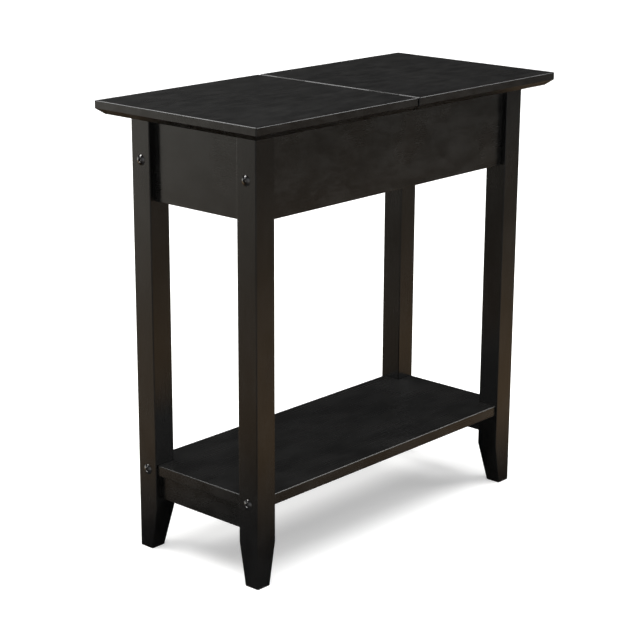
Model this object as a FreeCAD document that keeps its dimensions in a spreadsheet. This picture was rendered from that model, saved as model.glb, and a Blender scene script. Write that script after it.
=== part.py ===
import FreeCAD, Part
import math
import os
import re
import Sketcher

# A narrow end table with a split top.  The left half of the top is a lid that lifts on two hinges
# let into the joint, above a hidden tray between the aprons.  Millimetres, +Z up, the origin on the
# floor under the middle of the top, X along the long side, the front at -Y.

# ---------------------------------------------------------------- driving sizes

SIZES = {
    # top: two boards of one outline, split across the middle
    "top_length": 603.25,
    "top_width": 285.75,
    "table_height": 609.6,
    "top_thick": 18,
    "top_overhang": 32.5,
    "top_edge": 10,             # upright part of the edge, above the bevel
    "top_bevel": 9.5,           # how far the underside bevel reaches in
    "top_arris": 1.5,
    "split_gap": 3,
    "split_round": 2,
    "lid_clear": 0.3,           # the closed lid's height above the frame
    # legs: square, tapered near the floor on the two inner faces
    "leg_side": 33,
    "leg_foot": 22.5,
    "leg_taper": 58,
    "leg_arris": 1.2,
    # aprons
    "apron_thick": 18,
    "apron_height": 110.5,
    "apron_arris": 0.8,
    "side_setback": 8,          # front and rear aprons, in from the legs' outer faces
    "end_setback": 9.5,         # end aprons, likewise
    # tray floor, in grooves
    "floor_thick": 6,
    "floor_lift": 8,
    "floor_clear": 0.4,
    "groove_deep": 5,
    "groove_slack": 0.3,
    # rail under the joint of the top
    "cross_rail_thick": 15,
    "cross_rail_height": 45,
    # battens that hold the fixed half of the top
    "cleat_side": 18,
    "cleat_length": 170,
    "cleat_middle": 125,
    # lower shelf and the rails under its ends
    "shelf_top": 122,
    "shelf_thick": 15,
    "shelf_setback": 3,
    "shelf_arris": 1.2,
    "notch_clear": 0.5,
    "shelf_rail_thick": 15,
    "shelf_rail_height": 33.5,
    "shelf_rail_setback": 8,
    # bolts through the legs, and the threaded inserts they screw into
    "bolt_dia": 6,
    "bolt_length": 50,
    "bolt_head": 14,
    "bolt_head_high": 3,
    "bolt_head_flat": 6.6,      # round the socket
    "bolt_dome_dia": 11.2,      # where the dome turns flatter
    "bolt_dome_high": 2.2,
    "hex_key": 4,
    "hex_deep": 2,
    "bolt_hole": 6.6,
    "bolt_room": 2,             # hole beyond the bolt's tip
    "upper_bolt_drop": 57,      # below the legs' top end
    "lower_bolt_drop": 8.5,     # below the shelf's top face
    "thread_fit": 0.05,
    "insert_dia": 10,
    "insert_length": 15,
    "insert_fit": 0.05,
    # tenons, glued into mortises
    "tenon_thick": 8,
    "tenon_fit": 0.1,
    "tenon_room": 0.5,          # mortise beyond the tenon's end
    "side_tenon_long": 10,      # two on each end of a long apron, above and below the bolt
    "side_tenon_high": 28,
    "side_tenon_pitch": 66,
    "end_tenon_long": 8,
    "end_tenon_high": 84,
    "shelf_tenon_long": 8,
    "shelf_tenon_high": 21,
    "cross_tenon_long": 8,
    "cross_tenon_high": 30,
    # hinges, let into the two boards' meeting edges
    "hinge_length": 50,
    "hinge_inset": 60,          # from the top's long edge to the hinge's middle
    "knuckle_dia": 4.6,
    "knuckle_gap": 0.15,
    "knuckle_relief": 0.4,      # between a knuckle and what it turns past
    "leaf_thick": 1.4,
    "leaf_height": 13,
    "leaf_fit": 0.15,
    "pin_dia": 2.4,
    "pin_fit": 0.05,
}
KNUCKLES = 3
BOLT_PLACES = [(side, depth) for side in (-1, 1) for depth in (-1, 1)]

# ---------------------------------------------------------------- sizes that follow

DERIVED = {
    "frame_top": "table_height - top_thick",
    "half_length": "top_length / 2 - split_gap / 2",
    "lid_thick": "top_thick - lid_clear",
    "leg_x": "top_length / 2 - top_overhang",
    "leg_y": "top_width / 2 - top_overhang",
    "side_half": "leg_x - leg_side",
    "end_half": "leg_y - leg_side",
    "apron_base": "frame_top - apron_height",
    "inner_x": "leg_x - end_setback - apron_thick",
    "inner_y": "leg_y - side_setback - apron_thick",
    "bolt_in": "side_setback + apron_thick / 2",
    "upper_bolt_z": "frame_top - upper_bolt_drop",
    "upper_bolt_rise": "apron_height - upper_bolt_drop",
    "lower_bolt_z": "shelf_top - lower_bolt_drop",
    "bolt_reach": "bolt_length - leg_side",
    "shelf_x": "leg_x - shelf_setback",
    "shelf_y": "leg_y - shelf_setback",
    "shelf_base": "shelf_top - shelf_thick",
    "shelf_notch_y": "end_half - notch_clear",
    "shelf_rail_base": "shelf_base - shelf_rail_height",
    "shelf_rail_middle": "shelf_rail_setback + shelf_rail_thick / 2",
    "shelf_rail_middle_z": "shelf_rail_base + shelf_rail_height / 2",
    "cross_rail_base": "frame_top - cross_rail_height",
    "knuckle_r": "knuckle_dia / 2",
    "hinge_z": "table_height - knuckle_dia / 2",
    "hinge_y": "top_width / 2 - hinge_inset",
    "mortise_deep": "knuckle_dia / 2 - split_gap / 2",
}

V = FreeCAD.Vector
doc = FreeCAD.newDocument("lift_top_end_table")
sheet = doc.addObject("Spreadsheet::Sheet", "Sizes")
for row, (alias, value) in enumerate(SIZES.items(), 1):
    sheet.set(f"A{row}", alias)
    sheet.set(f"B{row}", str(value))
    sheet.setAlias(f"B{row}", alias)
doc.recompute()


def ex(text):
    """Turns a sum of size names into an expression that the document works out."""
    def one(match):
        word = match.group(0)
        return f"({ex(DERIVED[word])})" if word in DERIVED else f"Sizes.{word}"
    return re.sub(r"[a-z][a-z_]*", one, text)


def val(text):
    """The number that a sum of size names gives."""
    return float(sheet.evalExpression(ex(text)))


# ---------------------------------------------------------------- modelling helpers

def new_body(label):
    body = doc.addObject("PartDesign::Body", label)
    body.Label = label
    return body


def place(thing, x, y, z, turned=False):
    """Puts a sub-part at x, y, z, turned half round about the upright axis if asked."""
    thing.Placement = FreeCAD.Placement(V(), FreeCAD.Rotation(V(0, 0, 1), 180 if turned else 0))
    for axis, text in zip("xyz", (x, y, z)):
        thing.setExpression(f"Placement.Base.{axis}", ex(text))


def new_sketch(body, role, name):
    sketch = body.newObject("Sketcher::SketchObject", name)
    base = next(f for f in body.Origin.OriginFeatures if f.Role == role)
    sketch.AttachmentSupport = [(base, "")]
    sketch.MapMode = "FlatFace"
    return sketch


def fix_point(sketch, shape, point, x, y):
    """Ties one point of a sketch to x and y, counted from its origin: -1 and -2 are its axes."""
    for kind, text, axis in (("DistanceX", x, -2), ("DistanceY", y, -1)):
        if text == "0":
            sketch.addConstraint(Sketcher.Constraint("PointOnObject", shape, point, axis))
        else:
            tie = Sketcher.Constraint(kind, -1, 1, shape, point, val(text))
            index = sketch.addConstraint(tie)
            sketch.setExpression(f"Constraints[{index}]", ex(text))


def polygon(sketch, points):
    corners = [V(val(x), val(y), 0) for x, y in points]
    for start, end in zip(corners, corners[1:] + corners[:1]):
        sketch.addGeometry(Part.LineSegment(start, end))
    for index, (x, y) in enumerate(points):
        following = (index + 1) % len(points)
        sketch.addConstraint(Sketcher.Constraint("Coincident", index, 2, following, 1))
        fix_point(sketch, index, 1, x, y)


def rectangle(sketch, x0, x1, y0, y1):
    polygon(sketch, [(x0, y0), (x1, y0), (x1, y1), (x0, y1)])


def circle(sketch, diameter):
    """A circle round the sketch's origin."""
    size = val(diameter)
    index = sketch.addGeometry(Part.Circle(V(), V(0, 0, 1), size / 2))
    sketch.addConstraint(Sketcher.Constraint("Coincident", index, 3, -1, 1))
    tie = sketch.addConstraint(Sketcher.Constraint("Diameter", index, size))
    sketch.setExpression(f"Constraints[{tie}]", ex(diameter))


def pad(body, name, sketch, length, midplane=False):
    feature = body.newObject("PartDesign::Pad", name)
    feature.Profile = sketch
    feature.Midplane = midplane
    feature.setExpression("Length", ex(length))
    doc.recompute()


def cut_through(body, name, sketch):
    """Pockets a profile right through the body, both ways from its plane."""
    feature = body.newObject("PartDesign::Pocket", name)
    feature.Profile = sketch
    feature.Type = "ThroughAll"
    feature.Midplane = True
    compute_cut(body, feature)


def compute_cut(body, feature):
    """Computes a feature that takes material away, and makes sure that it does."""
    doc.recompute()
    if feature.Shape.Volume >= feature.BaseFeature.Shape.Volume:
        raise RuntimeError(f"{body.Label}: {feature.Label} took nothing away")


def edge_names(shape, test):
    return [f"Edge{number}" for number, edge in enumerate(shape.Edges, 1) if test(edge)]


def round_edges(body, name, radius, test):
    base = body.Tip
    feature = body.newObject("PartDesign::Fillet", name)
    feature.Base = (base, edge_names(base.Shape, test))
    feature.setExpression("Radius", ex(radius))
    doc.recompute()


def along(edge, axis):
    """Whether a straight edge runs along x, y or z."""
    if not isinstance(edge.Curve, Part.Line):
        return False
    return abs(edge.Curve.Direction["xyz".index(axis)]) > 0.999


def at(edge, axis, position):
    return abs(edge.CenterOfMass["xyz".index(axis)] - position) < 0.01


def drill(body, name, start, toward, radius, depth):
    """A round hole from the point start, going along the direction toward."""
    hole = body.newObject("PartDesign::SubtractiveCylinder", name)
    hole.Placement = FreeCAD.Placement(V(), FreeCAD.Rotation(V(0, 0, 1), V(*toward)))
    for axis, text in zip("xyz", start):
        hole.setExpression(f"Placement.Base.{axis}", ex(text))
    hole.setExpression("Radius", ex(radius))
    hole.setExpression("Height", ex(depth))
    compute_cut(body, hole)


def add_box(body, name, middle, size):
    box = body.newObject("PartDesign::AdditiveBox", name)
    set_box(box, middle, size)
    doc.recompute()


def cut_box(body, name, middle, size):
    box = body.newObject("PartDesign::SubtractiveBox", name)
    set_box(box, middle, size)
    compute_cut(body, box)


def set_box(box, middle, size):
    for axis, side, centre, length in zip("xyz", ("Length", "Width", "Height"), middle, size):
        box.setExpression(f"Placement.Base.{axis}", ex(f"{centre} - ({length}) / 2"))
        box.setExpression(side, ex(length))


def add_group(label, shapes):
    """Loose fasteners that share one node, each a solid of its own."""
    group = doc.addObject("Part::Feature", label)
    group.Label = label
    group.Shape = Part.makeCompound(shapes)
    group.Placement = FreeCAD.Placement()


def put(shape, x, y, z, toward):
    """A copy of a shape made along +X, moved to x, y, z and turned to point toward."""
    copy = shape.copy()
    copy.Placement = FreeCAD.Placement(V(x, y, z), FreeCAD.Rotation(V(1, 0, 0), V(*toward)))
    return copy


# ---------------------------------------------------------------- top

def top_half(label, thick):
    """Half of the top, from the joint at x = 0 outward, standing on z = 0."""
    half = new_body(label)
    outline = new_sketch(half, "XY_Plane", "outline")
    rectangle(outline, "0", "half_length", "-top_width / 2", "top_width / 2")
    pad(half, "board", outline, thick)
    bevel_underside(half, thick)
    top = val(thick)
    end = val("half_length")
    round_edges(half, "joint_round", "split_round",
                lambda e: along(e, "y") and at(e, "x", 0) and at(e, "z", top))
    round_edges(half, "arris", "top_arris", lambda e: outer_arris(e, top, end))
    for side in (-1, 1):
        let_in_hinge(half, thick, side)
    return half


def bevel_underside(half, thick):
    """Bevels the underside along the three outer edges, below the upright part."""
    base = half.Tip
    end = val("half_length")
    feature = half.newObject("PartDesign::Chamfer", "underside_bevel")
    under = edge_names(base.Shape, lambda e: at(e, "z", 0) and not at(e, "x", 0))
    feature.Base = (base, under)
    feature.ChamferType = "Two distances"
    feature.setExpression("Size", ex("top_bevel"))
    feature.setExpression("Size2", ex(f"{thick} - top_edge"))
    doc.recompute()
    reach = max(e.CenterOfMass.x for e in feature.Shape.Edges if at(e, "z", 0))
    if abs(reach - (end - val("top_bevel"))) > 0.01:
        feature.FlipDirection = True
        doc.recompute()


def outer_arris(edge, top, end):
    on_top = at(edge, "z", top) and not at(edge, "x", val("split_round"))
    upright_corner = along(edge, "z") and at(edge, "x", end)
    return on_top or upright_corner


def let_in_hinge(half, thick, side):
    """The cove that clears the hinge's barrel, and the mortise that takes its leaf."""
    axis_x = "-split_gap / 2"
    axis_z = f"{thick} - knuckle_r"
    middle = f"{side} * hinge_y"
    room = "hinge_length + 2 * leaf_fit"
    drill(half, "barrel_cove", (axis_x, f"{middle} - ({room}) / 2", axis_z), (0, 1, 0),
          "knuckle_r + knuckle_relief", room)
    cut_box(half, "leaf_mortise",
            ("mortise_deep / 2", middle, f"{axis_z} - (leaf_height + leaf_fit) / 2"),
            ("mortise_deep", room, "leaf_height + leaf_fit"))


lid_panel = top_half("lid_panel", "lid_thick")
place(lid_panel, "-split_gap / 2", "0", "frame_top + lid_clear", turned=True)

fixed_top_panel = top_half("fixed_top_panel", "top_thick")
place(fixed_top_panel, "split_gap / 2", "0", "frame_top")


# ---------------------------------------------------------------- legs

def add_leg(label, hand, turned):
    """A leg with its outer corner at the origin, +x inward and hand * y inward."""
    leg = new_body(label)
    section = new_sketch(leg, "XY_Plane", "section")
    rectangle(section, "0", "leg_side", "0", f"{hand} * leg_side")
    pad(leg, "blank", section, "frame_top")
    taper = new_sketch(leg, "XZ_Plane", "end_taper")
    polygon(taper, [("leg_foot", "0"), ("leg_side", "0"), ("leg_side", "leg_taper")])
    cut_through(leg, "taper_x", taper)
    taper = new_sketch(leg, "YZ_Plane", "side_taper")
    polygon(taper, [(f"{hand} * leg_foot", "0"), (f"{hand} * leg_side", "0"),
                    (f"{hand} * leg_side", "leg_taper")])
    cut_through(leg, "taper_y", taper)
    round_edges(leg, "arrises", "leg_arris", lambda e: abs(e.Curve.Direction.z) > 0.5)
    for height in ("upper_bolt_z", "lower_bolt_z"):
        drill(leg, "bolt_hole", ("0", f"{hand} * bolt_in", height), (1, 0, 0),
              "bolt_hole / 2", "leg_side")
    cut_mortises(leg, hand)
    across = "leg_x" if turned else "-leg_x"
    deep = hand if turned else -hand
    place(leg, across, f"{deep} * leg_y", "0", turned)


def cut_mortises(leg, hand):
    """Two for the long apron's tenons, and one each for the short apron and the shelf rail."""
    wide = "tenon_thick + 2 * tenon_fit"
    deep = "side_tenon_long + tenon_room"
    for step in (-1, 1):
        cut_box(leg, "side_mortise",
                (f"leg_side - ({deep}) / 2", f"{hand} * bolt_in",
                 f"upper_bolt_z + {step} * side_tenon_pitch / 2"),
                (deep, wide, "side_tenon_high + 2 * tenon_fit"))
    deep = "end_tenon_long + tenon_room"
    cut_box(leg, "end_mortise",
            ("end_setback + apron_thick / 2", f"{hand} * (leg_side - ({deep}) / 2)",
             "apron_base + apron_height / 2"),
            (wide, deep, "end_tenon_high + 2 * tenon_fit"))
    deep = "shelf_tenon_long + tenon_room"
    cut_box(leg, "shelf_rail_mortise",
            ("shelf_rail_middle", f"{hand} * (leg_side - ({deep}) / 2)", "shelf_rail_middle_z"),
            (wide, deep, "shelf_tenon_high + 2 * tenon_fit"))


add_leg("leg_front_left", 1, turned=False)
add_leg("leg_rear_left", -1, turned=False)
add_leg("leg_front_right", -1, turned=True)
add_leg("leg_rear_right", 1, turned=True)


# ---------------------------------------------------------------- aprons, cross rail and tray floor

def add_side_apron(label, turned):
    """A long apron: outer face at y = 0, inner face at +y, standing on z = 0."""
    apron = new_body(label)
    plan = new_sketch(apron, "XY_Plane", "plan")
    rectangle(plan, "-side_half", "side_half", "0", "apron_thick")
    pad(apron, "board", plan, "apron_height")
    round_edges(apron, "arris", "apron_arris", lambda e: along(e, "x") and at(e, "z", 0))
    groove = new_sketch(apron, "YZ_Plane", "groove")
    rectangle(groove, "apron_thick - groove_deep", "apron_thick",
              "floor_lift", "floor_lift + floor_thick + groove_slack")
    cut_through(apron, "floor_groove", groove)
    for end in (-1, 1):
        for step in (-1, 1):
            add_box(apron, "tenon",
                    (f"{end} * (side_half + side_tenon_long / 2)", "apron_thick / 2",
                     f"upper_bolt_rise + {step} * side_tenon_pitch / 2"),
                    ("side_tenon_long", "tenon_thick", "side_tenon_high"))
        drill(apron, "insert_hole", (f"{end} * side_half", "apron_thick / 2", "upper_bolt_rise"),
              (-end, 0, 0), "insert_dia / 2 + insert_fit", "bolt_reach + bolt_room")
    deep = "cross_tenon_long + tenon_room"
    cut_box(apron, "cross_rail_mortise",
            ("0", f"apron_thick - ({deep}) / 2", "apron_height - cross_rail_height / 2"),
            ("tenon_thick + 2 * tenon_fit", deep, "cross_tenon_high + 2 * tenon_fit"))
    front = 1 if turned else -1
    place(apron, "0", f"{front} * (leg_y - side_setback)", "apron_base", turned)


def add_end_board(label, thick, height, tenon_long, tenon_high):
    """A short board between two legs: outer face at x = 0, inner face at +x."""
    board = new_body(label)
    plan = new_sketch(board, "XY_Plane", "plan")
    rectangle(plan, "0", thick, "-end_half", "end_half")
    pad(board, "board", plan, height)
    round_edges(board, "arris", "apron_arris", lambda e: along(e, "y") and at(e, "z", 0))
    for end in (-1, 1):
        add_box(board, "tenon",
                (f"{thick} / 2", f"{end} * (end_half + {tenon_long} / 2)", f"{height} / 2"),
                ("tenon_thick", tenon_long, tenon_high))
    return board


def add_end_apron(label, turned):
    apron = add_end_board(label, "apron_thick", "apron_height", "end_tenon_long", "end_tenon_high")
    cut_box(apron, "floor_groove",
            ("apron_thick - groove_deep / 2", "0",
             "floor_lift + (floor_thick + groove_slack) / 2"),
            ("groove_deep", "2 * end_half", "floor_thick + groove_slack"))
    side = 1 if turned else -1
    place(apron, f"{side} * (leg_x - end_setback)", "0", "apron_base", turned)


add_side_apron("front_apron", turned=False)
add_side_apron("rear_apron", turned=True)
add_end_apron("left_end_apron", turned=False)
add_end_apron("right_end_apron", turned=True)

cross_rail = new_body("cross_rail")
cross_plan = new_sketch(cross_rail, "XY_Plane", "plan")
rectangle(cross_plan, "-cross_rail_thick / 2", "cross_rail_thick / 2", "-inner_y", "inner_y")
pad(cross_rail, "board", cross_plan, "cross_rail_height")
for end in (-1, 1):
    add_box(cross_rail, "tenon",
            ("0", f"{end} * (inner_y + cross_tenon_long / 2)", "cross_rail_height / 2"),
            ("tenon_thick", "cross_tenon_long", "cross_tenon_high"))
place(cross_rail, "0", "0", "cross_rail_base")


def notched_outline(sketch, long_x, short_x, long_y, short_y):
    """A rectangle long_x by long_y, each way from the middle, with its four corners cut out."""
    quarter = [(long_x, short_y), (short_x, short_y), (short_x, long_y)]
    points = [(x, y) for x, y in quarter]
    points += [(f"-({x})", y) for x, y in reversed(quarter)]
    points += [(f"-({x})", f"-({y})") for x, y in quarter]
    points += [(x, f"-({y})") for x, y in reversed(quarter)]
    polygon(sketch, points)


compartment_floor = new_body("compartment_floor")
floor_plan = new_sketch(compartment_floor, "XY_Plane", "plan")
notched_outline(floor_plan, "inner_x + groove_deep - floor_clear", "side_half - floor_clear",
                "inner_y + groove_deep - floor_clear", "end_half - floor_clear")
pad(compartment_floor, "board", floor_plan, "floor_thick")
place(compartment_floor, "0", "0", "apron_base + floor_lift")


# ---------------------------------------------------------------- cleats

def add_cleat(label, turned):
    """A batten glued into the corner: apron face at y = 0, top face at z = 0."""
    cleat = new_body(label)
    end = new_sketch(cleat, "YZ_Plane", "end")
    rectangle(end, "0", "cleat_side", "-cleat_side", "0")
    pad(cleat, "batten", end, "cleat_length", midplane=True)
    side = 1 if turned else -1
    place(cleat, "cleat_middle", f"{side} * inner_y", "frame_top", turned)


add_cleat("front_cleat", turned=False)
add_cleat("rear_cleat", turned=True)


# ---------------------------------------------------------------- lower shelf and its rails

lower_shelf = new_body("lower_shelf")
shelf_plan = new_sketch(lower_shelf, "XY_Plane", "plan")
notched_outline(shelf_plan, "shelf_x", "side_half", "shelf_y", "shelf_notch_y")
pad(lower_shelf, "board", shelf_plan, "shelf_thick")


def shelf_edge(edge):
    """The edges that stand free along the shelf's sides and ends, above and below."""
    side = along(edge, "x") and abs(abs(edge.CenterOfMass.y) - val("shelf_y")) < 0.01
    end = along(edge, "y") and abs(abs(edge.CenterOfMass.x) - val("shelf_x")) < 0.01
    return side or end


round_edges(lower_shelf, "arris", "shelf_arris", shelf_edge)
for side, depth in BOLT_PLACES:
    drill(lower_shelf, "insert_hole",
          (f"{side} * side_half", f"{depth} * (leg_y - bolt_in)", "shelf_thick - lower_bolt_drop"),
          (-side, 0, 0), "insert_dia / 2 + insert_fit", "bolt_reach + bolt_room")
place(lower_shelf, "0", "0", "shelf_base")


def add_shelf_rail(label, turned):
    rail = add_end_board(label, "shelf_rail_thick", "shelf_rail_height", "shelf_tenon_long",
                         "shelf_tenon_high")
    side = 1 if turned else -1
    place(rail, f"{side} * (leg_x - shelf_rail_setback)", "0", "shelf_rail_base", turned)


add_shelf_rail("left_shelf_rail", turned=False)
add_shelf_rail("right_shelf_rail", turned=True)


# ---------------------------------------------------------------- bolts and threaded inserts

def turned_solid(outline):
    """A solid of revolution about X, from the x and radius of each corner of its half section."""
    points = [V(x, radius, 0) for x, radius in outline]
    return Part.Face(Part.makePolygon(points + points[:1])).revolve(V(), V(1, 0, 0), 360)


def bolt_shape():
    """A dome-headed bolt with a hexagon socket: shank along +X, the head's underside at x = 0."""
    high = val("bolt_head_high")
    length = val("bolt_length")
    shank = val("bolt_dia / 2")
    bolt = turned_solid([(length, 0), (length, shank), (0, shank), (0, val("bolt_head / 2")),
                         (-val("bolt_dome_high"), val("bolt_dome_dia / 2")),
                         (-high, val("bolt_head_flat / 2")), (-high, 0)])
    corner = val("hex_key / 2") / math.cos(math.pi / 6)
    turns = [math.radians(60 * step) for step in range(7)]
    ring = [V(-high, corner * math.cos(turn), corner * math.sin(turn)) for turn in turns]
    socket = Part.Face(Part.makePolygon(ring)).extrude(V(val("hex_deep"), 0, 0))
    return bolt.cut(socket)


def insert_shape():
    """A threaded sleeve along +X, its outer end at x = 0."""
    length = val("insert_length")
    bore = val("bolt_dia / 2 + thread_fit")
    outer = val("insert_dia / 2")
    return turned_solid([(0, bore), (0, outer), (length, outer), (length, bore)])


def add_to_joints(label, shape, outward, height):
    """One copy for each leg, pointing in from the table's end, outward from the middle in x."""
    y = val("leg_y - bolt_in")
    add_group(label, [put(shape, side * val(outward), depth * y, val(height), (-side, 0, 0))
                      for side, depth in BOLT_PLACES])


for level in ("upper", "lower"):
    add_to_joints(f"{level}_bolts", bolt_shape(), "leg_x", f"{level}_bolt_z")
    add_to_joints(f"{level}_inserts", insert_shape(), "side_half", f"{level}_bolt_z")


# ---------------------------------------------------------------- hinges

def add_hinge_leaf(label, side, own, turned):
    """A leaf with its pin axis along Y at the origin.  own names the knuckles it keeps."""
    leaf = new_body(label)
    plate = new_sketch(leaf, "XZ_Plane", "plate_end")
    rectangle(plate, "knuckle_r - leaf_thick", "knuckle_r", "-leaf_height", "0")
    pad(leaf, "plate", plate, "hinge_length", midplane=True)
    barrel = new_sketch(leaf, "XZ_Plane", "barrel_end")
    circle(barrel, "knuckle_dia")
    pad(leaf, "barrel", barrel, "hinge_length", midplane=True)
    eye = new_sketch(leaf, "XZ_Plane", "eye")
    circle(eye, "pin_dia + 2 * pin_fit")
    cut_through(leaf, "pin_hole", eye)
    reach = "2 * (knuckle_r + knuckle_relief)"
    for number in range(KNUCKLES):
        if number not in own:
            cut_box(leaf, "other_knuckle",
                    ("0", f"hinge_length * ({number + 0.5} / {KNUCKLES} - 0.5)", "0"),
                    (reach, f"hinge_length / {KNUCKLES} + 2 * knuckle_gap", reach))
    place(leaf, "0", f"{side} * hinge_y", "hinge_z", turned)


FIXED_KNUCKLES = [number for number in range(KNUCKLES) if number % 2 == 0]
LID_KNUCKLES = [number for number in range(KNUCKLES) if number % 2 == 1]
for name, side in (("front", -1), ("rear", 1)):
    add_hinge_leaf(f"{name}_hinge_fixed_leaf", side, FIXED_KNUCKLES, turned=False)
    add_hinge_leaf(f"{name}_hinge_lid_leaf", side, LID_KNUCKLES, turned=True)
    pin = doc.addObject("Part::Cylinder", f"{name}_hinge_pin")
    pin.Label = f"{name}_hinge_pin"
    pin.setExpression("Radius", ex("pin_dia / 2"))
    pin.setExpression("Height", ex("hinge_length"))
    pin.Placement = FreeCAD.Placement(V(), FreeCAD.Rotation(V(0, 0, 1), V(0, 1, 0)))
    pin.setExpression("Placement.Base.y", ex(f"{side} * hinge_y - hinge_length / 2"))
    pin.setExpression("Placement.Base.z", ex("hinge_z"))

# ---------------------------------------------------------------- check and write

doc.recompute()
for thing in doc.Objects:
    if "Invalid" in thing.State or "Error" in thing.State:
        raise RuntimeError(f"{thing.Label} did not compute")

os.makedirs("parts", exist_ok=True)
for thing in doc.Objects:
    if thing.TypeId not in ("PartDesign::Body", "Part::Feature", "Part::Cylinder"):
        continue
    if thing.Shape.isNull() or not thing.Shape.isValid():
        raise RuntimeError(f"{thing.Label} has no valid shape")
    thing.Shape.exportStep(f"parts/{thing.Label}.step")
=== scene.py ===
"""Lift top end table: its lacquer, steel and pine, its bolts and hinge screws, a floor, studio light and
a camera."""
import math

import bpy
import numpy as np
from mathutils import Euler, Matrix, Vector


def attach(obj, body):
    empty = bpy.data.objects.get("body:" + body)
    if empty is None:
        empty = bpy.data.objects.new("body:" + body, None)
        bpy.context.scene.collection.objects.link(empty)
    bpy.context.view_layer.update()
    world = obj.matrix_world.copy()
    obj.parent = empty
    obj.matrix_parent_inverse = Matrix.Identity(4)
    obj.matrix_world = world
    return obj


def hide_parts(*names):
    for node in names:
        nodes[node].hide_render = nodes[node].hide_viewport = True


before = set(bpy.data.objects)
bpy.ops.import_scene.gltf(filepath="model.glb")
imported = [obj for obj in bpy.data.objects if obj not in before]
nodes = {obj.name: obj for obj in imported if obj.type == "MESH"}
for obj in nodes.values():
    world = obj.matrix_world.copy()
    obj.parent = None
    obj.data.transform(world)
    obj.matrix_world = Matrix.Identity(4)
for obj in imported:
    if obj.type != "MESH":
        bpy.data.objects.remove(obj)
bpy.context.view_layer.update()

MM = 0.001
SIDES = (-1, 1)

# ---------------------------------------------------------------- sizes of the pieces made here, in metres
CRISP_TURN = math.radians(32)    # an edge that turns more than this stays sharp

BOLT_HEAD_R = 7.0 * MM
BOLT_HEAD_HIGH = 3.0 * MM
BOLT_HEAD_LAND = 0.25 * MM       # upright rim under the dome
BOLT_SHANK_R = 3.0 * MM
BOLT_LENGTH = 50.0 * MM          # under the head
BOLT_POINT = 0.8 * MM            # chamfer at the inner end
KEY_HALF = 2.0 * MM              # half the width across the socket's flats
KEY_DEEP = 2.0 * MM
KEY_DISH = 0.1 * MM              # how much deeper the middle of the socket is
KEY_BEVEL = 0.35 * MM

SCREW_R = 3.0 * MM
SCREW_PROUD = 0.35 * MM
SCREW_SUNK = 0.3 * MM            # how far the head's back is let into the leaf
SCREW_BACK = 0.55                # the back's radius, as a share of the head's
SCREW_ROUND = 0.8                # how far out on a ball the head's rim lies, as a share of the ball's radius
SCREW_RINGS = (0.06, 0.97)       # its innermost ring and the last one before the rim, as shares of its radius
SCREW_UP = 5.2 * MM              # from a leaf's lower edge to its screws
SCREW_SPREAD = 17.0 * MM         # from the middle of a leaf to each of its screws
FIRST_LEAN = 0.3                 # how far round the first screw's cross stands, in radians
NEXT_LEAN = 0.9                  # and how much further each next one
CROSS_HALF = 0.42 * MM           # half the width of one arm of the recess
CROSS_SIDE = (0.75, 1.35)        # where an arm's side starts and ends, in half widths
CROSS_REACH = 1.9 * MM
CROSS_TIP = (0.85, 1.1)          # where an arm's tip starts and ends, in reaches
CROSS_DEEP = 0.26 * MM
LEAF_THICK = 1.4 * MM

# The shelf's upper arris is painted a paler colour along its length: a painted highlight, not wear.
HIGHLIGHT_IN = 1.075 * MM             # how far the painted highlight on the shelf's upper arris reaches in from its long edge
HIGHLIGHT_DOWN = 1.1 * MM             # and down from its upper face
# how soft the edge of the painted highlight is
HIGHLIGHT_BLUR = 0.4 * MM


# ---------------------------------------------------------------- places, from the frame
def node_box(name):
    """The lowest and the highest corner of a node."""
    corners = np.array(nodes[name].bound_box)
    return corners.min(axis=0), corners.max(axis=0)


LEG_OUTER_X = node_box("leg_rear_right")[1][0]
BOLT_Y = node_box("upper_bolts")[1][1] - BOLT_HEAD_R

leaf_low, leaf_high = node_box("rear_hinge_fixed_leaf")
LEAF_FACE_X = leaf_high[0] - LEAF_THICK
HINGE_Y = (leaf_low[1] + leaf_high[1]) / 2
SCREW_Z = leaf_low[2] + SCREW_UP

shelf_high = node_box("lower_shelf")[1]
# where the painted highlight on the shelf's upper arris starts, in from its edge and down from its face
SHELF_HIGHLIGHT = (shelf_high[1] - HIGHLIGHT_IN, shelf_high[2] - HIGHLIGHT_DOWN)


# ---------------------------------------------------------------- surfaces
def ring_quads(rows, steps):
    """The faces between each ring and the next, in a grid of rows rings with steps points each."""
    row, step = np.meshgrid(np.arange(rows - 1), np.arange(steps), indexing="ij")
    a = row * steps + step
    b = row * steps + (step + 1) % steps
    return np.stack([a, b, b + steps, a + steps], axis=-1).reshape(-1, 4)


def ring_fan(tip, first, steps):
    """The triangles from the point tip to a ring of steps points, the first of them being first."""
    here = np.arange(steps)
    return np.stack([np.full(steps, tip), first + here, first + (here + 1) % steps], axis=-1)


def skin(rings, first, last):
    """Closed skin: rings is rows of points going round, first and last close its two ends to a point."""
    rows, steps = rings.shape[:2]
    points = np.concatenate([rings.reshape(-1, 3), [first, last]])
    first_tip, last_tip = rows * steps, rows * steps + 1
    cap = ring_fan(first_tip, 0, steps)[:, ::-1]
    tail = ring_fan(last_tip, (rows - 1) * steps, steps)
    return points, ring_quads(rows, steps), np.concatenate([cap, tail])


def facing(part, side, x, y, z):
    """Moves a skin made along +X to its place. side -1 turns it half round about the upright line."""
    points, quads, triangles = part
    turned = points * np.array([side, side, 1.0]) + np.array([x, y, z])
    return turned, quads, triangles


def mesh_object(name, points, faces, material):
    """A mesh of these points and faces, as an object at the origin."""
    mesh = bpy.data.meshes.new(name)
    mesh.from_pydata(points.tolist(), [], faces)
    mesh.update()
    mesh.materials.append(material)
    made = bpy.data.objects.new(name, mesh)
    bpy.context.scene.collection.objects.link(made)
    return made


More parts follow.
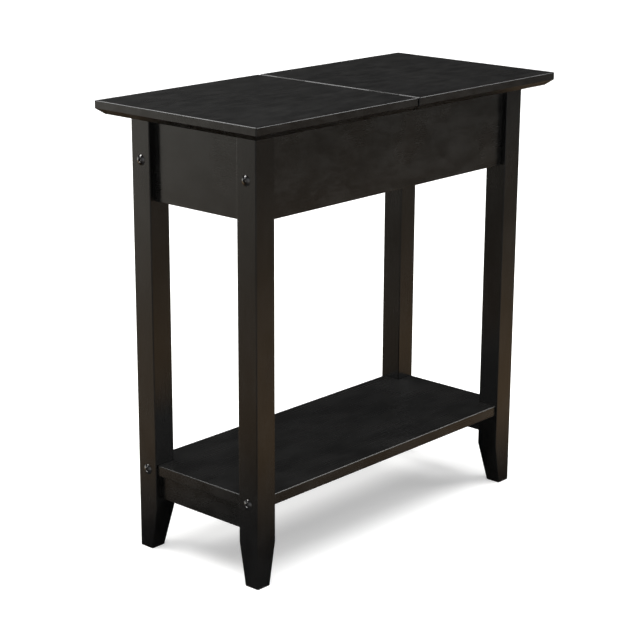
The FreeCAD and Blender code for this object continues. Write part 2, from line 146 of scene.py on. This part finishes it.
def mesh_piece(name, parts, body, material):
    """One object from several skins, riding on body, smooth but for its crisp edges."""
    points, faces, start = [], [], 0
    for part_points, quads, triangles in parts:
        points.append(part_points)
        faces += (quads + start).tolist() + (triangles + start).tolist()
        start += len(part_points)
    piece = mesh_object(name, np.concatenate(points), faces, material)
    piece.data.shade_smooth()
    piece.data.set_sharp_from_angle(angle=CRISP_TURN)
    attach(piece, body)
    return piece


def dome_bolt(steps=72, dome_rings=14):
    """A dome-headed bolt along +X, its head's underside at x = 0.
    At a turn t round the axis the socket's wall stands at key_half / cos(t folded into +-30 degrees), and
    outside it the dome is a cap of a ball whose radius is (head^2 + rise^2) / (2 rise): at a distance r from
    the axis it stands land + rise - ball + sqrt(ball^2 - r^2) above the leg."""
    turn = np.linspace(0, 2 * math.pi, steps, endpoint=False)
    fold = np.mod(turn, math.pi / 3) - math.pi / 6
    socket = KEY_HALF / np.cos(fold)
    rise = BOLT_HEAD_HIGH - BOLT_HEAD_LAND
    ball = (BOLT_HEAD_R ** 2 + rise ** 2) / (2 * rise)

    def dome(r):
        return -BOLT_HEAD_LAND - rise + ball - np.sqrt(ball ** 2 - r ** 2)

    flat = np.full(steps, 1.0)
    lip = socket + KEY_BEVEL
    socket_floor = -BOLT_HEAD_HIGH + KEY_DEEP
    rows = [(socket / 2, socket_floor + KEY_DISH), (socket, socket_floor), (socket, dome(lip) + KEY_BEVEL)]
    rows += [(r, dome(r)) for r in (lip * (1 - s) + BOLT_HEAD_R * s for s in np.linspace(0, 1, dome_rings))]
    rows += [(flat * BOLT_HEAD_R, 0.0), (flat * BOLT_SHANK_R, 0.0),
             (flat * BOLT_SHANK_R, BOLT_LENGTH - BOLT_POINT),
             (flat * (BOLT_SHANK_R - BOLT_POINT), BOLT_LENGTH)]
    rings = np.stack([np.stack([flat * x, r * np.cos(turn), r * np.sin(turn)], axis=-1) for r, x in rows])
    return skin(rings, (socket_floor + KEY_DISH, 0.0, 0.0), (BOLT_LENGTH, 0.0, 0.0))


def fading(value, start, end):
    """1 up to start, 0 past end, and 3 s^2 - 2 s^3 between, s running from 1 at start to 0 at end."""
    s = np.clip((end - value) / (end - start), 0.0, 1.0)
    return s * s * (3 - 2 * s)


def screw_head(lean, steps=64, head_rings=22):
    """A low round head facing -X with a cross-shaped recess, its seat at x = 0.
    Its height at radius r and turn t is proud * sqrt(1 - (round r / R)^2) less the recess, which is deep
    where the smaller of |r cos t| and |r sin t| is under an arm's half width and r inside the arms' reach."""
    turn = np.linspace(0, 2 * math.pi, steps, endpoint=False)
    radius = np.concatenate([np.linspace(*SCREW_RINGS, head_rings), [1.0]]) * SCREW_R
    r, t = np.meshgrid(radius, turn, indexing="ij")
    u, v = np.abs(r * np.cos(t + lean)), np.abs(r * np.sin(t + lean))
    in_arms = fading(np.minimum(u, v) / CROSS_HALF, *CROSS_SIDE)
    in_reach = fading(r / CROSS_REACH, *CROSS_TIP)
    high = SCREW_PROUD * np.sqrt(1 - (SCREW_ROUND * r / SCREW_R) ** 2) - CROSS_DEEP * in_arms * in_reach
    head = np.stack([-high, r * np.cos(t), r * np.sin(t)], axis=-1)
    back_r = SCREW_BACK * SCREW_R
    back = np.stack([np.full(steps, SCREW_SUNK), back_r * np.cos(turn), back_r * np.sin(turn)], axis=-1)
    rings = np.concatenate([head, back[None]])
    return skin(rings, (-(SCREW_PROUD - CROSS_DEEP), 0.0, 0.0), (SCREW_SUNK, 0.0, 0.0))


# ---------------------------------------------------------------- node trees
MIX_AMOUNT, MIX_FIRST, MIX_SECOND, MIX_COLOUR = 0, 6, 7, 2    # a Mix node's inputs and output for colours


class NodeTree:
    """A node tree, with short words for the steps that recur here. A step's value is another node's output,
    which gets joined, or a plain number, vector or colour, which is set."""

    def __init__(self, tree):
        self.tree = tree

    def feed(self, node, values):
        """Gives a node its inputs, by their names or numbers."""
        for key, value in values.items():
            if isinstance(value, bpy.types.NodeSocket):
                self.tree.links.new(value, node.inputs[key])
            else:
                node.inputs[key].default_value = value

    def add(self, kind, values=None, **settings):
        """A new node with its settings and its inputs."""
        node = self.tree.nodes.new(kind)
        for key, setting in settings.items():
            setattr(node, key, setting)
        self.feed(node, values or {})
        return node

    def span(self, value, low, high, to_low=0.0, to_high=1.0, how="SMOOTHSTEP"):
        """value carried from low..high to to_low..to_high."""
        carried = self.add("ShaderNodeMapRange", {
            "Value": value, "From Min": low, "From Max": high, "To Min": to_low, "To Max": to_high},
            interpolation_type=how)
        return carried.outputs["Result"]

    def combined(self, operation, a, b):
        """Two numbers added, multiplied or otherwise worked out into one."""
        return self.add("ShaderNodeMath", {0: a, 1: b}, operation=operation).outputs[0]

    def blended(self, operation, a, b):
        """Two colours added or multiplied, channel by channel."""
        return self.add("ShaderNodeVectorMath", {0: a, 1: b}, operation=operation).outputs[0]

    def ramp(self, value, stops):
        """Shades over value, each stop being (position, (r, g, b)) or (position, grey)."""
        node = self.add("ShaderNodeValToRGB", {"Fac": value})
        elements = node.color_ramp.elements
        while len(elements) < len(stops):
            elements.new(0.5)
        for element, (position, shade) in zip(elements, stops):
            red_green_blue = shade if isinstance(shade, tuple) else (shade, shade, shade)
            element.position = position
            element.color = (*red_green_blue, 1.0)
        return node.outputs["Color"]


class Finish(NodeTree):
    """A material under construction: its node tree, its shader and the object's own coordinates."""

    def __init__(self, name):
        self.material = bpy.data.materials.new(name)
        self.material.use_nodes = True
        super().__init__(self.material.node_tree)
        self.shader = self.tree.nodes["Principled BSDF"]
        self.place = self.add("ShaderNodeTexCoord").outputs["Object"]

    def stretched(self, scale, shift=(0.0, 0.0, 0.0)):
        """The object's coordinates in metres, times scale along x, y and z, and then moved by shift."""
        mapping = self.add("ShaderNodeMapping", {"Vector": self.place, "Location": shift, "Scale": scale})
        return mapping.outputs["Vector"]

    def noise(self, scale, detail=3.0, rough=0.55, distortion=0.0):
        """Cloudy noise. scale is how many clouds fit in a metre: one number, or one along each axis."""
        each_way = scale if isinstance(scale, tuple) else (scale, scale, scale)
        clouds = self.add("ShaderNodeTexNoise", {
            "Vector": self.stretched(each_way), "Scale": 1.0, "Detail": detail, "Roughness": rough,
            "Distortion": distortion})
        return clouds.outputs["Fac"]

    def beyond(self, axis, reach):
        """1 where the distance from the middle along axis (0, 1 or 2) passes reach, 0 before it."""
        along = self.add("ShaderNodeSeparateXYZ", {0: self.place}).outputs[axis]
        away = self.add("ShaderNodeMath", {0: along}, operation="ABSOLUTE").outputs[0]
        return self.span(away, reach, reach + HIGHLIGHT_BLUR)

    def mixed(self, amount, first, second):
        """The colour first where amount is 0, and second where it is 1."""
        mix = self.add("ShaderNodeMix", {MIX_AMOUNT: amount, MIX_FIRST: first, MIX_SECOND: second},
                       data_type="RGBA")
        return mix.outputs[MIX_COLOUR]

    def relief(self, *layers):
        """Bump from (height, metres) layers, laid one on another."""
        below = {}
        for height, depth in layers:
            bump = self.add("ShaderNodeBump", {"Strength": 1.0, "Distance": depth, "Height": height, **below})
            below = {"Normal": bump.outputs["Normal"]}
        return below["Normal"]

    def finished(self, values):
        """Gives the shader its inputs, and hands over the material."""
        self.feed(self.shader, values)
        return self.material


# ---------------------------------------------------------------- finishes
LACQUER_TINT = (1.0, 0.98, 0.94)
# the paler colour painted on the shelf's upper arris as a highlight
PAINTED_HIGHLIGHT_SHADE = (0.072, 0.07, 0.066, 1.0)
PORE_DEEP = 0.0015 * MM          # how deep the lacquer's relief is: pores, grain and orange peel
GRAIN_DEEP = 0.003 * MM
PEEL_DEEP = 0.002 * MM


def along_grain(axis, across, lengthwise):
    """Clouds per metre, few along the grain's axis (0, 1 or 2) and many across it."""
    return tuple(lengthwise if way == axis else across for way in range(3))


def tinted(shade):
    """The lacquer's slightly warm black, as bright as shade."""
    return tuple(shade * part for part in LACQUER_TINT)


def satin_black(name, axis, clouds=22.0, squeeze=1.7, ragged=0.5, texture=1.0, dark=0.002, light=0.008,
                roughness=0.26, highlight_arris=None):
    """Satin black lacquer sprayed over close-grained wood: faint blotches where the coat is uneven, the
    grain just telegraphing through it, fine orange peel and a few dull rubbed patches. The blotches are
    squeeze times longer with the grain than across it, ragged is how strong their finer parts are, and
    texture deepens or flattens the relief. The last argument gives how far out and up an arris starts that
    is painted a paler colour: a painted highlight, standing in for the line of light the arris catches."""
    coat = Finish(name)
    blotch = coat.noise(along_grain(axis, clouds * squeeze, clouds), detail=5.0, rough=ragged, distortion=0.3)
    grain = coat.noise(along_grain(axis, 420.0, 9.0), detail=4.0, rough=0.6)
    pores = coat.noise(along_grain(axis, 1500.0, 55.0), detail=2.0, rough=0.5)
    peel = coat.noise(520.0, detail=2.0, rough=0.5)
    rubbed = coat.noise(9.0, detail=3.0, rough=0.5)
    tone = coat.combined("ADD", coat.span(blotch, 0.34, 0.68, 0.0, 0.9),
                         coat.span(grain, 0.35, 0.7, 0.0, 0.1))
    colour = coat.ramp(tone, [(0.0, tinted(dark)), (1.0, tinted(light))])
    # Painted highlight: the arris gets a paler base colour in place of the light it catches.
    if highlight_arris:
        arris = coat.combined("MULTIPLY", coat.beyond(1, highlight_arris[0]), coat.beyond(2, highlight_arris[1]))
        colour = coat.mixed(arris, colour, PAINTED_HIGHLIGHT_SHADE)
    return coat.finished({
        "Base Color": colour,
        "Roughness": coat.combined("ADD", coat.span(grain, 0.3, 0.7, roughness - 0.015, roughness + 0.015),
                                   coat.span(rubbed, 0.4, 0.8, -0.02, 0.05)),
        "Normal": coat.relief((pores, PORE_DEEP * texture), (grain, GRAIN_DEEP * texture),
                              (peel, PEEL_DEEP * texture))})


def tray_board():
    """Thin pressed board, its face brushed with flat black: short fibres and a dusty speckle."""
    board = Finish("tray_board")
    fibre = board.noise(900.0, detail=4.0, rough=0.7)
    dust = board.noise(130.0, detail=5.0, rough=0.7)
    tone = board.combined("ADD", board.span(fibre, 0.3, 0.7, 0.0, 0.5), board.span(dust, 0.4, 0.7, 0.0, 0.5))
    return board.finished({
        "Base Color": board.ramp(tone, [(0.0, (0.012, 0.011, 0.010)), (1.0, (0.034, 0.031, 0.027))]),
        "Roughness": board.span(dust, 0.3, 0.7, 0.62, 0.78),
        "Specular IOR Level": 0.3,
        "Normal": board.relief((fibre, 0.06 * MM), (dust, 0.04 * MM))})


def bare_pine():
    """Planed pine, its year lines running with the batten: pale early wood, amber late wood, fine fibres."""
    wood = Finish("bare_pine")
    sway = wood.noise((6.0, 60.0, 60.0), detail=2.0, rough=0.5)
    fibre = wood.noise((30.0, 1500.0, 1500.0), detail=3.0, rough=0.6)
    waves = wood.add("ShaderNodeTexWave", {
        "Vector": wood.stretched((4.0, 95.0, 95.0)), "Scale": 1.0, "Distortion": 2.2, "Detail": 2.0,
        "Detail Scale": 1.4}, wave_type="RINGS", rings_direction="X", wave_profile="SAW")
    rings = waves.outputs["Fac"]
    tone = wood.combined("ADD", wood.span(rings, 0.0, 1.0, 0.0, 0.62), wood.span(sway, 0.3, 0.7, 0.0, 0.2))
    tone = wood.combined("ADD", tone, wood.span(fibre, 0.3, 0.7, 0.0, 0.18))
    return wood.finished({
        "Base Color": wood.ramp(tone, [(0.0, (0.64, 0.46, 0.26)), (0.6, (0.56, 0.37, 0.18)),
                                       (1.0, (0.36, 0.19, 0.07))]),
        "Roughness": wood.span(fibre, 0.3, 0.7, 0.5, 0.66),
        "Normal": wood.relief((fibre, 0.05 * MM), (rings, 0.06 * MM))})


def steel(name, dark, light, smooth, rough, brushed):
    """Steel with a fine brushed or rolled surface: its colour runs from dark to light and its roughness from
    smooth to rough. brushed is how many lines fit in a metre."""
    metal = Finish(name)
    lines = metal.noise(brushed, detail=3.0, rough=0.6)
    spots = metal.noise(420.0, detail=3.0, rough=0.6)
    return metal.finished({
        "Base Color": metal.ramp(metal.span(spots, 0.3, 0.7), [(0.0, dark), (1.0, light)]),
        "Roughness": metal.span(lines, 0.3, 0.7, smooth, rough),
        "Metallic": 1.0,
        "Normal": metal.relief((lines, 0.008 * MM), (spots, 0.006 * MM))})


top_lacquer = satin_black("top_lacquer", 0, clouds=24.0, squeeze=2.4, ragged=0.72, dark=0.001, light=0.0105,
                          roughness=0.3)
long_lacquer = satin_black("long_apron_lacquer", 0, clouds=20.0, squeeze=2.2, ragged=0.68, light=0.0125)
short_lacquer = satin_black("end_apron_lacquer", 1, texture=0.6)
leg_lacquer = satin_black("leg_lacquer", 2, clouds=14.0, texture=0.8, dark=0.0015, light=0.005,
                          roughness=0.25)
# the shelf's upper arris gets a painted highlight
shelf_lacquer = satin_black("shelf_lacquer", 0, clouds=16.0, texture=0.3, roughness=0.28, highlight_arris=SHELF_HIGHLIGHT)
board_finish = tray_board()
pine_finish = bare_pine()
bolt_steel = steel("black_nickel_bolts", dark=(0.13, 0.13, 0.133), light=(0.18, 0.18, 0.18),
                   smooth=0.12, rough=0.18, brushed=700.0)
hinge_steel = steel("black_hinge_steel", dark=(0.045, 0.044, 0.042), light=(0.08, 0.078, 0.075),
                    smooth=0.32, rough=0.45, brushed=(900.0, 60.0, 900.0))
insert_steel = steel("zinc_inserts", dark=(0.46, 0.46, 0.45), light=(0.62, 0.62, 0.6),
                     smooth=0.22, rough=0.36, brushed=(60.0, 900.0, 900.0))

WEARS = {
    "lid_panel": top_lacquer, "fixed_top_panel": top_lacquer,
    "front_apron": long_lacquer, "rear_apron": long_lacquer,
    "left_end_apron": short_lacquer, "right_end_apron": short_lacquer,
    "cross_rail": short_lacquer, "left_shelf_rail": short_lacquer, "right_shelf_rail": short_lacquer,
    "leg_front_left": leg_lacquer, "leg_front_right": leg_lacquer,
    "leg_rear_left": leg_lacquer, "leg_rear_right": leg_lacquer,
    "lower_shelf": shelf_lacquer, "compartment_floor": board_finish,
    "upper_bolts": bolt_steel, "lower_bolts": bolt_steel,
    "upper_inserts": insert_steel, "lower_inserts": insert_steel,
    "front_hinge_lid_leaf": hinge_steel, "rear_hinge_lid_leaf": hinge_steel,
    "front_hinge_fixed_leaf": hinge_steel, "rear_hinge_fixed_leaf": hinge_steel,
    "front_hinge_pin": hinge_steel, "rear_hinge_pin": hinge_steel,
    "front_cleat": pine_finish, "rear_cleat": pine_finish,
}
for node_name, finish in WEARS.items():
    for material_slot in nodes[node_name].material_slots:
        material_slot.material = finish

# ---------------------------------------------------------------- bolts and hinge screws
for level in ("upper", "lower"):
    bolts_low, bolts_high = node_box(f"{level}_bolts")
    bolt_z = (bolts_low[2] + bolts_high[2]) / 2
    bolts = [facing(dome_bolt(), -side, side * LEG_OUTER_X, depth * BOLT_Y, bolt_z)
             for side in SIDES for depth in SIDES]
    bolt_set = mesh_piece(f"{level}_dome_bolts", bolts, "frame", bolt_steel)
    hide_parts(f"{level}_bolts")

screw_ys = [depth * HINGE_Y + away * SCREW_SPREAD for depth in SIDES for away in SIDES]
for side, body in zip(SIDES, ("lid", "frame")):
    heads = [facing(screw_head(FIRST_LEAN + NEXT_LEAN * count), side, side * LEAF_FACE_X, y, SCREW_Z)
             for count, y in enumerate(screw_ys)]
    mesh_piece(f"{body}_hinge_screws", heads, body, hinge_steel)

# ---------------------------------------------------------------- the floor and the table's shade on it
PAPER_R = 14.0
PAPER_GLOW = 0.42
SHADE_R = 1.6
SHADE_Z = 0.5 * MM


def floor_disc(name, radius, height, material, hub=0.2, rows=5, steps=96):
    """A round sheet: its points stand at radius times s, for s from hub to 1, at a turn t, and a fan of
    triangles closes its middle."""
    turn = np.linspace(0, 2 * math.pi, steps, endpoint=False)
    r, t = np.meshgrid(np.linspace(hub, 1, rows) * radius, turn, indexing="ij")
    rings = np.stack([r * np.cos(t), r * np.sin(t), 0 * r + height], axis=-1).reshape(-1, 3)
    points = np.concatenate([rings, [[0, 0, height]]])
    faces = ring_quads(rows, steps)[:, ::-1].tolist() + ring_fan(rows * steps, 0, steps).tolist()
    sheet = mesh_object(name, points, faces, material)
    return sheet


def pale_paper():
    """Matt white paper, faintly clouded, with a glow of its own that keeps it pale all the way out."""
    paper = Finish("pale_floor")
    cloud = paper.noise(2.0, detail=2.0)
    return paper.finished({
        "Base Color": paper.ramp(cloud, [(0.3, (0.80, 0.80, 0.795)), (0.7, (0.83, 0.83, 0.825))]),
        "Roughness": 0.9,
        "Specular IOR Level": 0.1,
        "Emission Color": (1.0, 1.0, 1.0, 1.0),
        "Emission Strength": PAPER_GLOW})


def soft_shade(middle, squash, near, far):
    """Black within near of the middle, clear beyond far. The middle lies at x = middle, and distances along
    x count squash times."""
    shade = Finish("floor_shade")
    from_middle = shade.stretched((squash, 1.0, 1.0), (-middle * squash, 0.0, 0.0))
    away = shade.add("ShaderNodeVectorMath", {0: from_middle}, operation="LENGTH").outputs["Value"]
    clear = shade.add("ShaderNodeBsdfTransparent").outputs[0]
    black = shade.shader.outputs[0]
    mix = shade.add("ShaderNodeMixShader", {0: shade.span(away, near, far), 1: black, 2: clear}).outputs[0]
    shade.feed(shade.tree.nodes["Material Output"], {"Surface": mix})
    return shade.finished({
        "Base Color": (0.05, 0.05, 0.05, 1.0),
        "Roughness": 1.0,
        "Specular IOR Level": 0.0})


paper_floor = floor_disc("studio_floor", PAPER_R, 0.0, pale_paper())
paper_floor.visible_glossy = False               # the lacquer mirrors the room, not the paper under it,
mirrored_shade = floor_disc("floor_shade", SHADE_R, SHADE_Z,
                            soft_shade(middle=-0.1, squash=0.5, near=0.14, far=0.5))
mirrored_shade.visible_camera = False            # and the table's own shade on the room's floor
mirrored_shade.visible_diffuse = False
mirrored_shade.visible_transmission = False
mirrored_shade.visible_shadow = False

# ---------------------------------------------------------------- the room that the lacquer mirrors
# Each wall is two lists of stops: its shade by the sine of the elevation, and its strength by the bearing in
# degrees, counted from +X toward +Y.
WINDOW_WALL = (
    [(-0.6, (0.03, 0.02, 0.012)), (-0.42, (0.36, 0.25, 0.15)), (-0.31, (0.34, 0.25, 0.17)),
     (-0.25, (0.50, 0.44, 0.36)), (-0.18, (1.38, 1.35, 1.24)), (0.02, (0.95, 0.95, 0.92)),
     (0.12, 0.02), (1.0, 0.02)],
    [(-180, 0.0), (40, 0.0), (70, 0.8), (100, 1.0), (122, 1.1), (128.5, 1.4), (132, 1.08), (134, 0.52),
     (136, 0.34), (138, 0.22), (143, 0.12), (147, 0.03), (160, 0.0), (180, 0.0)])
OPEN_SIDE = (
    [(-1.0, (0.06, 0.05, 0.035)), (-0.6, (0.10, 0.075, 0.05)), (-0.5, (0.22, 0.155, 0.1)),
     (-0.42, (0.48, 0.33, 0.19)), (-0.36, (0.66, 0.44, 0.25)), (-0.295, (0.82, 0.56, 0.33)),
     (-0.25, (0.20, 0.17, 0.135)), (-0.17, (0.19, 0.197, 0.19)), (0.02, 0.11), (0.1, 0.032),
     (0.14, 0.034), (0.175, 0.05), (0.35, 0.068), (1.0, 0.08)],
    [(-180, 0.0), (-80, 0.6), (-50, 0.95), (-36, 1.0), (-25, 1.0), (0, 0.8), (34, 0.64), (50, 0.76),
     (62, 0.4), (110, 0.4), (135, 0.35), (146, 0.25), (180, 0.0)])
NEAR_SIDE = (
    [(-1.0, 0.05), (-0.4, 0.15), (-0.1, 0.42), (0.3, 0.42), (0.6, 0.08), (1.0, 0.04)],
    [(-180, 0.7), (-140, 1.0), (-85, 0.8), (-65, 0.0), (155, 0.0), (180, 0.7)])
FRONT_PANE = (
    [(-1.0, 0.0), (0.25, 0.0), (0.32, 1.5), (0.42, 1.5), (0.5, 0.0), (1.0, 0.0)],
    [(-180, 0.0), (-64, 0.0), (-57, 1.0), (-46, 1.0), (-35, 0.0), (180, 0.0)])
BACK_PANE = (
    [(-1.0, 0.0), (0.2, 0.0), (0.26, 1.2), (0.4, 1.2), (0.46, 0.0), (1.0, 0.0)],
    [(-180, 0.0), (134, 0.0), (140, 1.0), (149, 1.0), (156, 0.0), (180, 0.0)])


def studio_air(seen, walls):
    """The room round the table: the sum of its walls, each its shade times its strength. The camera sees the
    plain colour seen in its place, past the edge of the floor."""
    world = bpy.data.worlds.new("studio")
    world.use_nodes = True
    world.node_tree.nodes.clear()
    air = NodeTree(world.node_tree)
    toward = air.add("ShaderNodeSeparateXYZ", {0: air.add("ShaderNodeTexCoord").outputs["Generated"]}).outputs
    height = air.span(toward["Z"], -1.0, 1.0, how="LINEAR")
    turn = air.combined("ARCTAN2", toward["Y"], toward["X"])
    bearing = air.span(turn, -math.pi, math.pi, how="LINEAR")
    room = None
    for by_height, by_bearing in walls:
        shade = air.ramp(height, [((sine + 1) / 2, colour) for sine, colour in by_height])
        strength = air.ramp(bearing, [((degrees + 180) / 360, grey) for degrees, grey in by_bearing])
        wall = air.blended("MULTIPLY", shade, strength)
        room = air.blended("ADD", room, wall) if room else wall
    mirrored = air.add("ShaderNodeBackground", {"Color": room}).outputs[0]
    backdrop = air.add("ShaderNodeBackground", {"Color": seen}).outputs[0]
    by_camera = air.add("ShaderNodeLightPath").outputs["Is Camera Ray"]
    either = air.add("ShaderNodeMixShader", {0: by_camera, 1: mirrored, 2: backdrop}).outputs[0]
    air.add("ShaderNodeOutputWorld", {"Surface": either})
    bpy.context.scene.world = world


studio_air((1.0, 1.0, 1.0, 1.0), [WINDOW_WALL, OPEN_SIDE, NEAR_SIDE, FRONT_PANE, BACK_PANE])


# ---------------------------------------------------------------- lamps
def hang(lamp, place, turn):
    """Puts a lamp at place, turned by the quaternion turn."""
    holder = bpy.data.objects.new(lamp.name, lamp)
    holder.location = place
    holder.rotation_euler = turn.to_euler()
    bpy.context.scene.collection.objects.link(holder)


def ceiling(toward, across, strength):
    """A broad soft light far overhead, coming from the direction toward, across degrees wide."""
    lamp = bpy.data.lights.new("ceiling", "SUN")
    lamp.angle = math.radians(across)
    lamp.energy = strength
    hang(lamp, (0.0, 0.0, 0.0), Vector(toward).to_track_quat("Z", "Y"))


def softbox(name, place, aim, wide, high, watts, colour=(1.0, 1.0, 1.0)):
    """A rectangular lamp at place, facing aim."""
    lamp = bpy.data.lights.new(name, "AREA")
    lamp.shape = "RECTANGLE"
    lamp.size = wide
    lamp.size_y = high
    lamp.energy = watts
    lamp.color = colour
    hang(lamp, place, (Vector(aim) - Vector(place)).to_track_quat("-Z", "Y"))


ceiling(toward=(-0.1, -0.1, 1.0), across=50.0, strength=3.2)
softbox("back_window", place=(-0.29, 2.35, 3.18), aim=(0.0, 0.0, 0.6), wide=2.3, high=1.3, watts=60.0)
softbox("right_window", place=(2.7, -1.65, 2.65), aim=(0.0, 0.0, 0.5), wide=1.8, high=1.2, watts=56.0)
softbox("left_window", place=(-1.83, 2.13, 2.58), aim=(-0.27, 0.0, 0.5), wide=1.2, high=1.2, watts=28.0,
        colour=(1.0, 0.98, 0.95))

# ---------------------------------------------------------------- the picture
PICTURE_PIXELS = 640             # the picture is square, this many pixels on a side
FOCAL_PIXELS = 1826.1            # from the lens to the picture, in the picture's pixels
SENSOR_WIDE = 36.0               # in millimetres, as Blender counts lenses
CAMERA_PLACE = (-1.8202, -1.6112, 0.9939)
CAMERA_TURN = (73.692, -0.275, -47.937)    # degrees about x, y and z

view_settings = bpy.context.scene.view_settings
view_settings.view_transform = "Standard"
view_settings.look = "None"

camera_data = bpy.data.cameras.new("camera")
camera_data.sensor_width = SENSOR_WIDE
camera_data.lens = FOCAL_PIXELS / PICTURE_PIXELS * SENSOR_WIDE
camera = bpy.data.objects.new("camera", camera_data)
camera.location = CAMERA_PLACE
camera.rotation_euler = Euler([math.radians(turn) for turn in CAMERA_TURN], "XYZ")
bpy.context.scene.collection.objects.link(camera)
bpy.context.scene.camera = camera
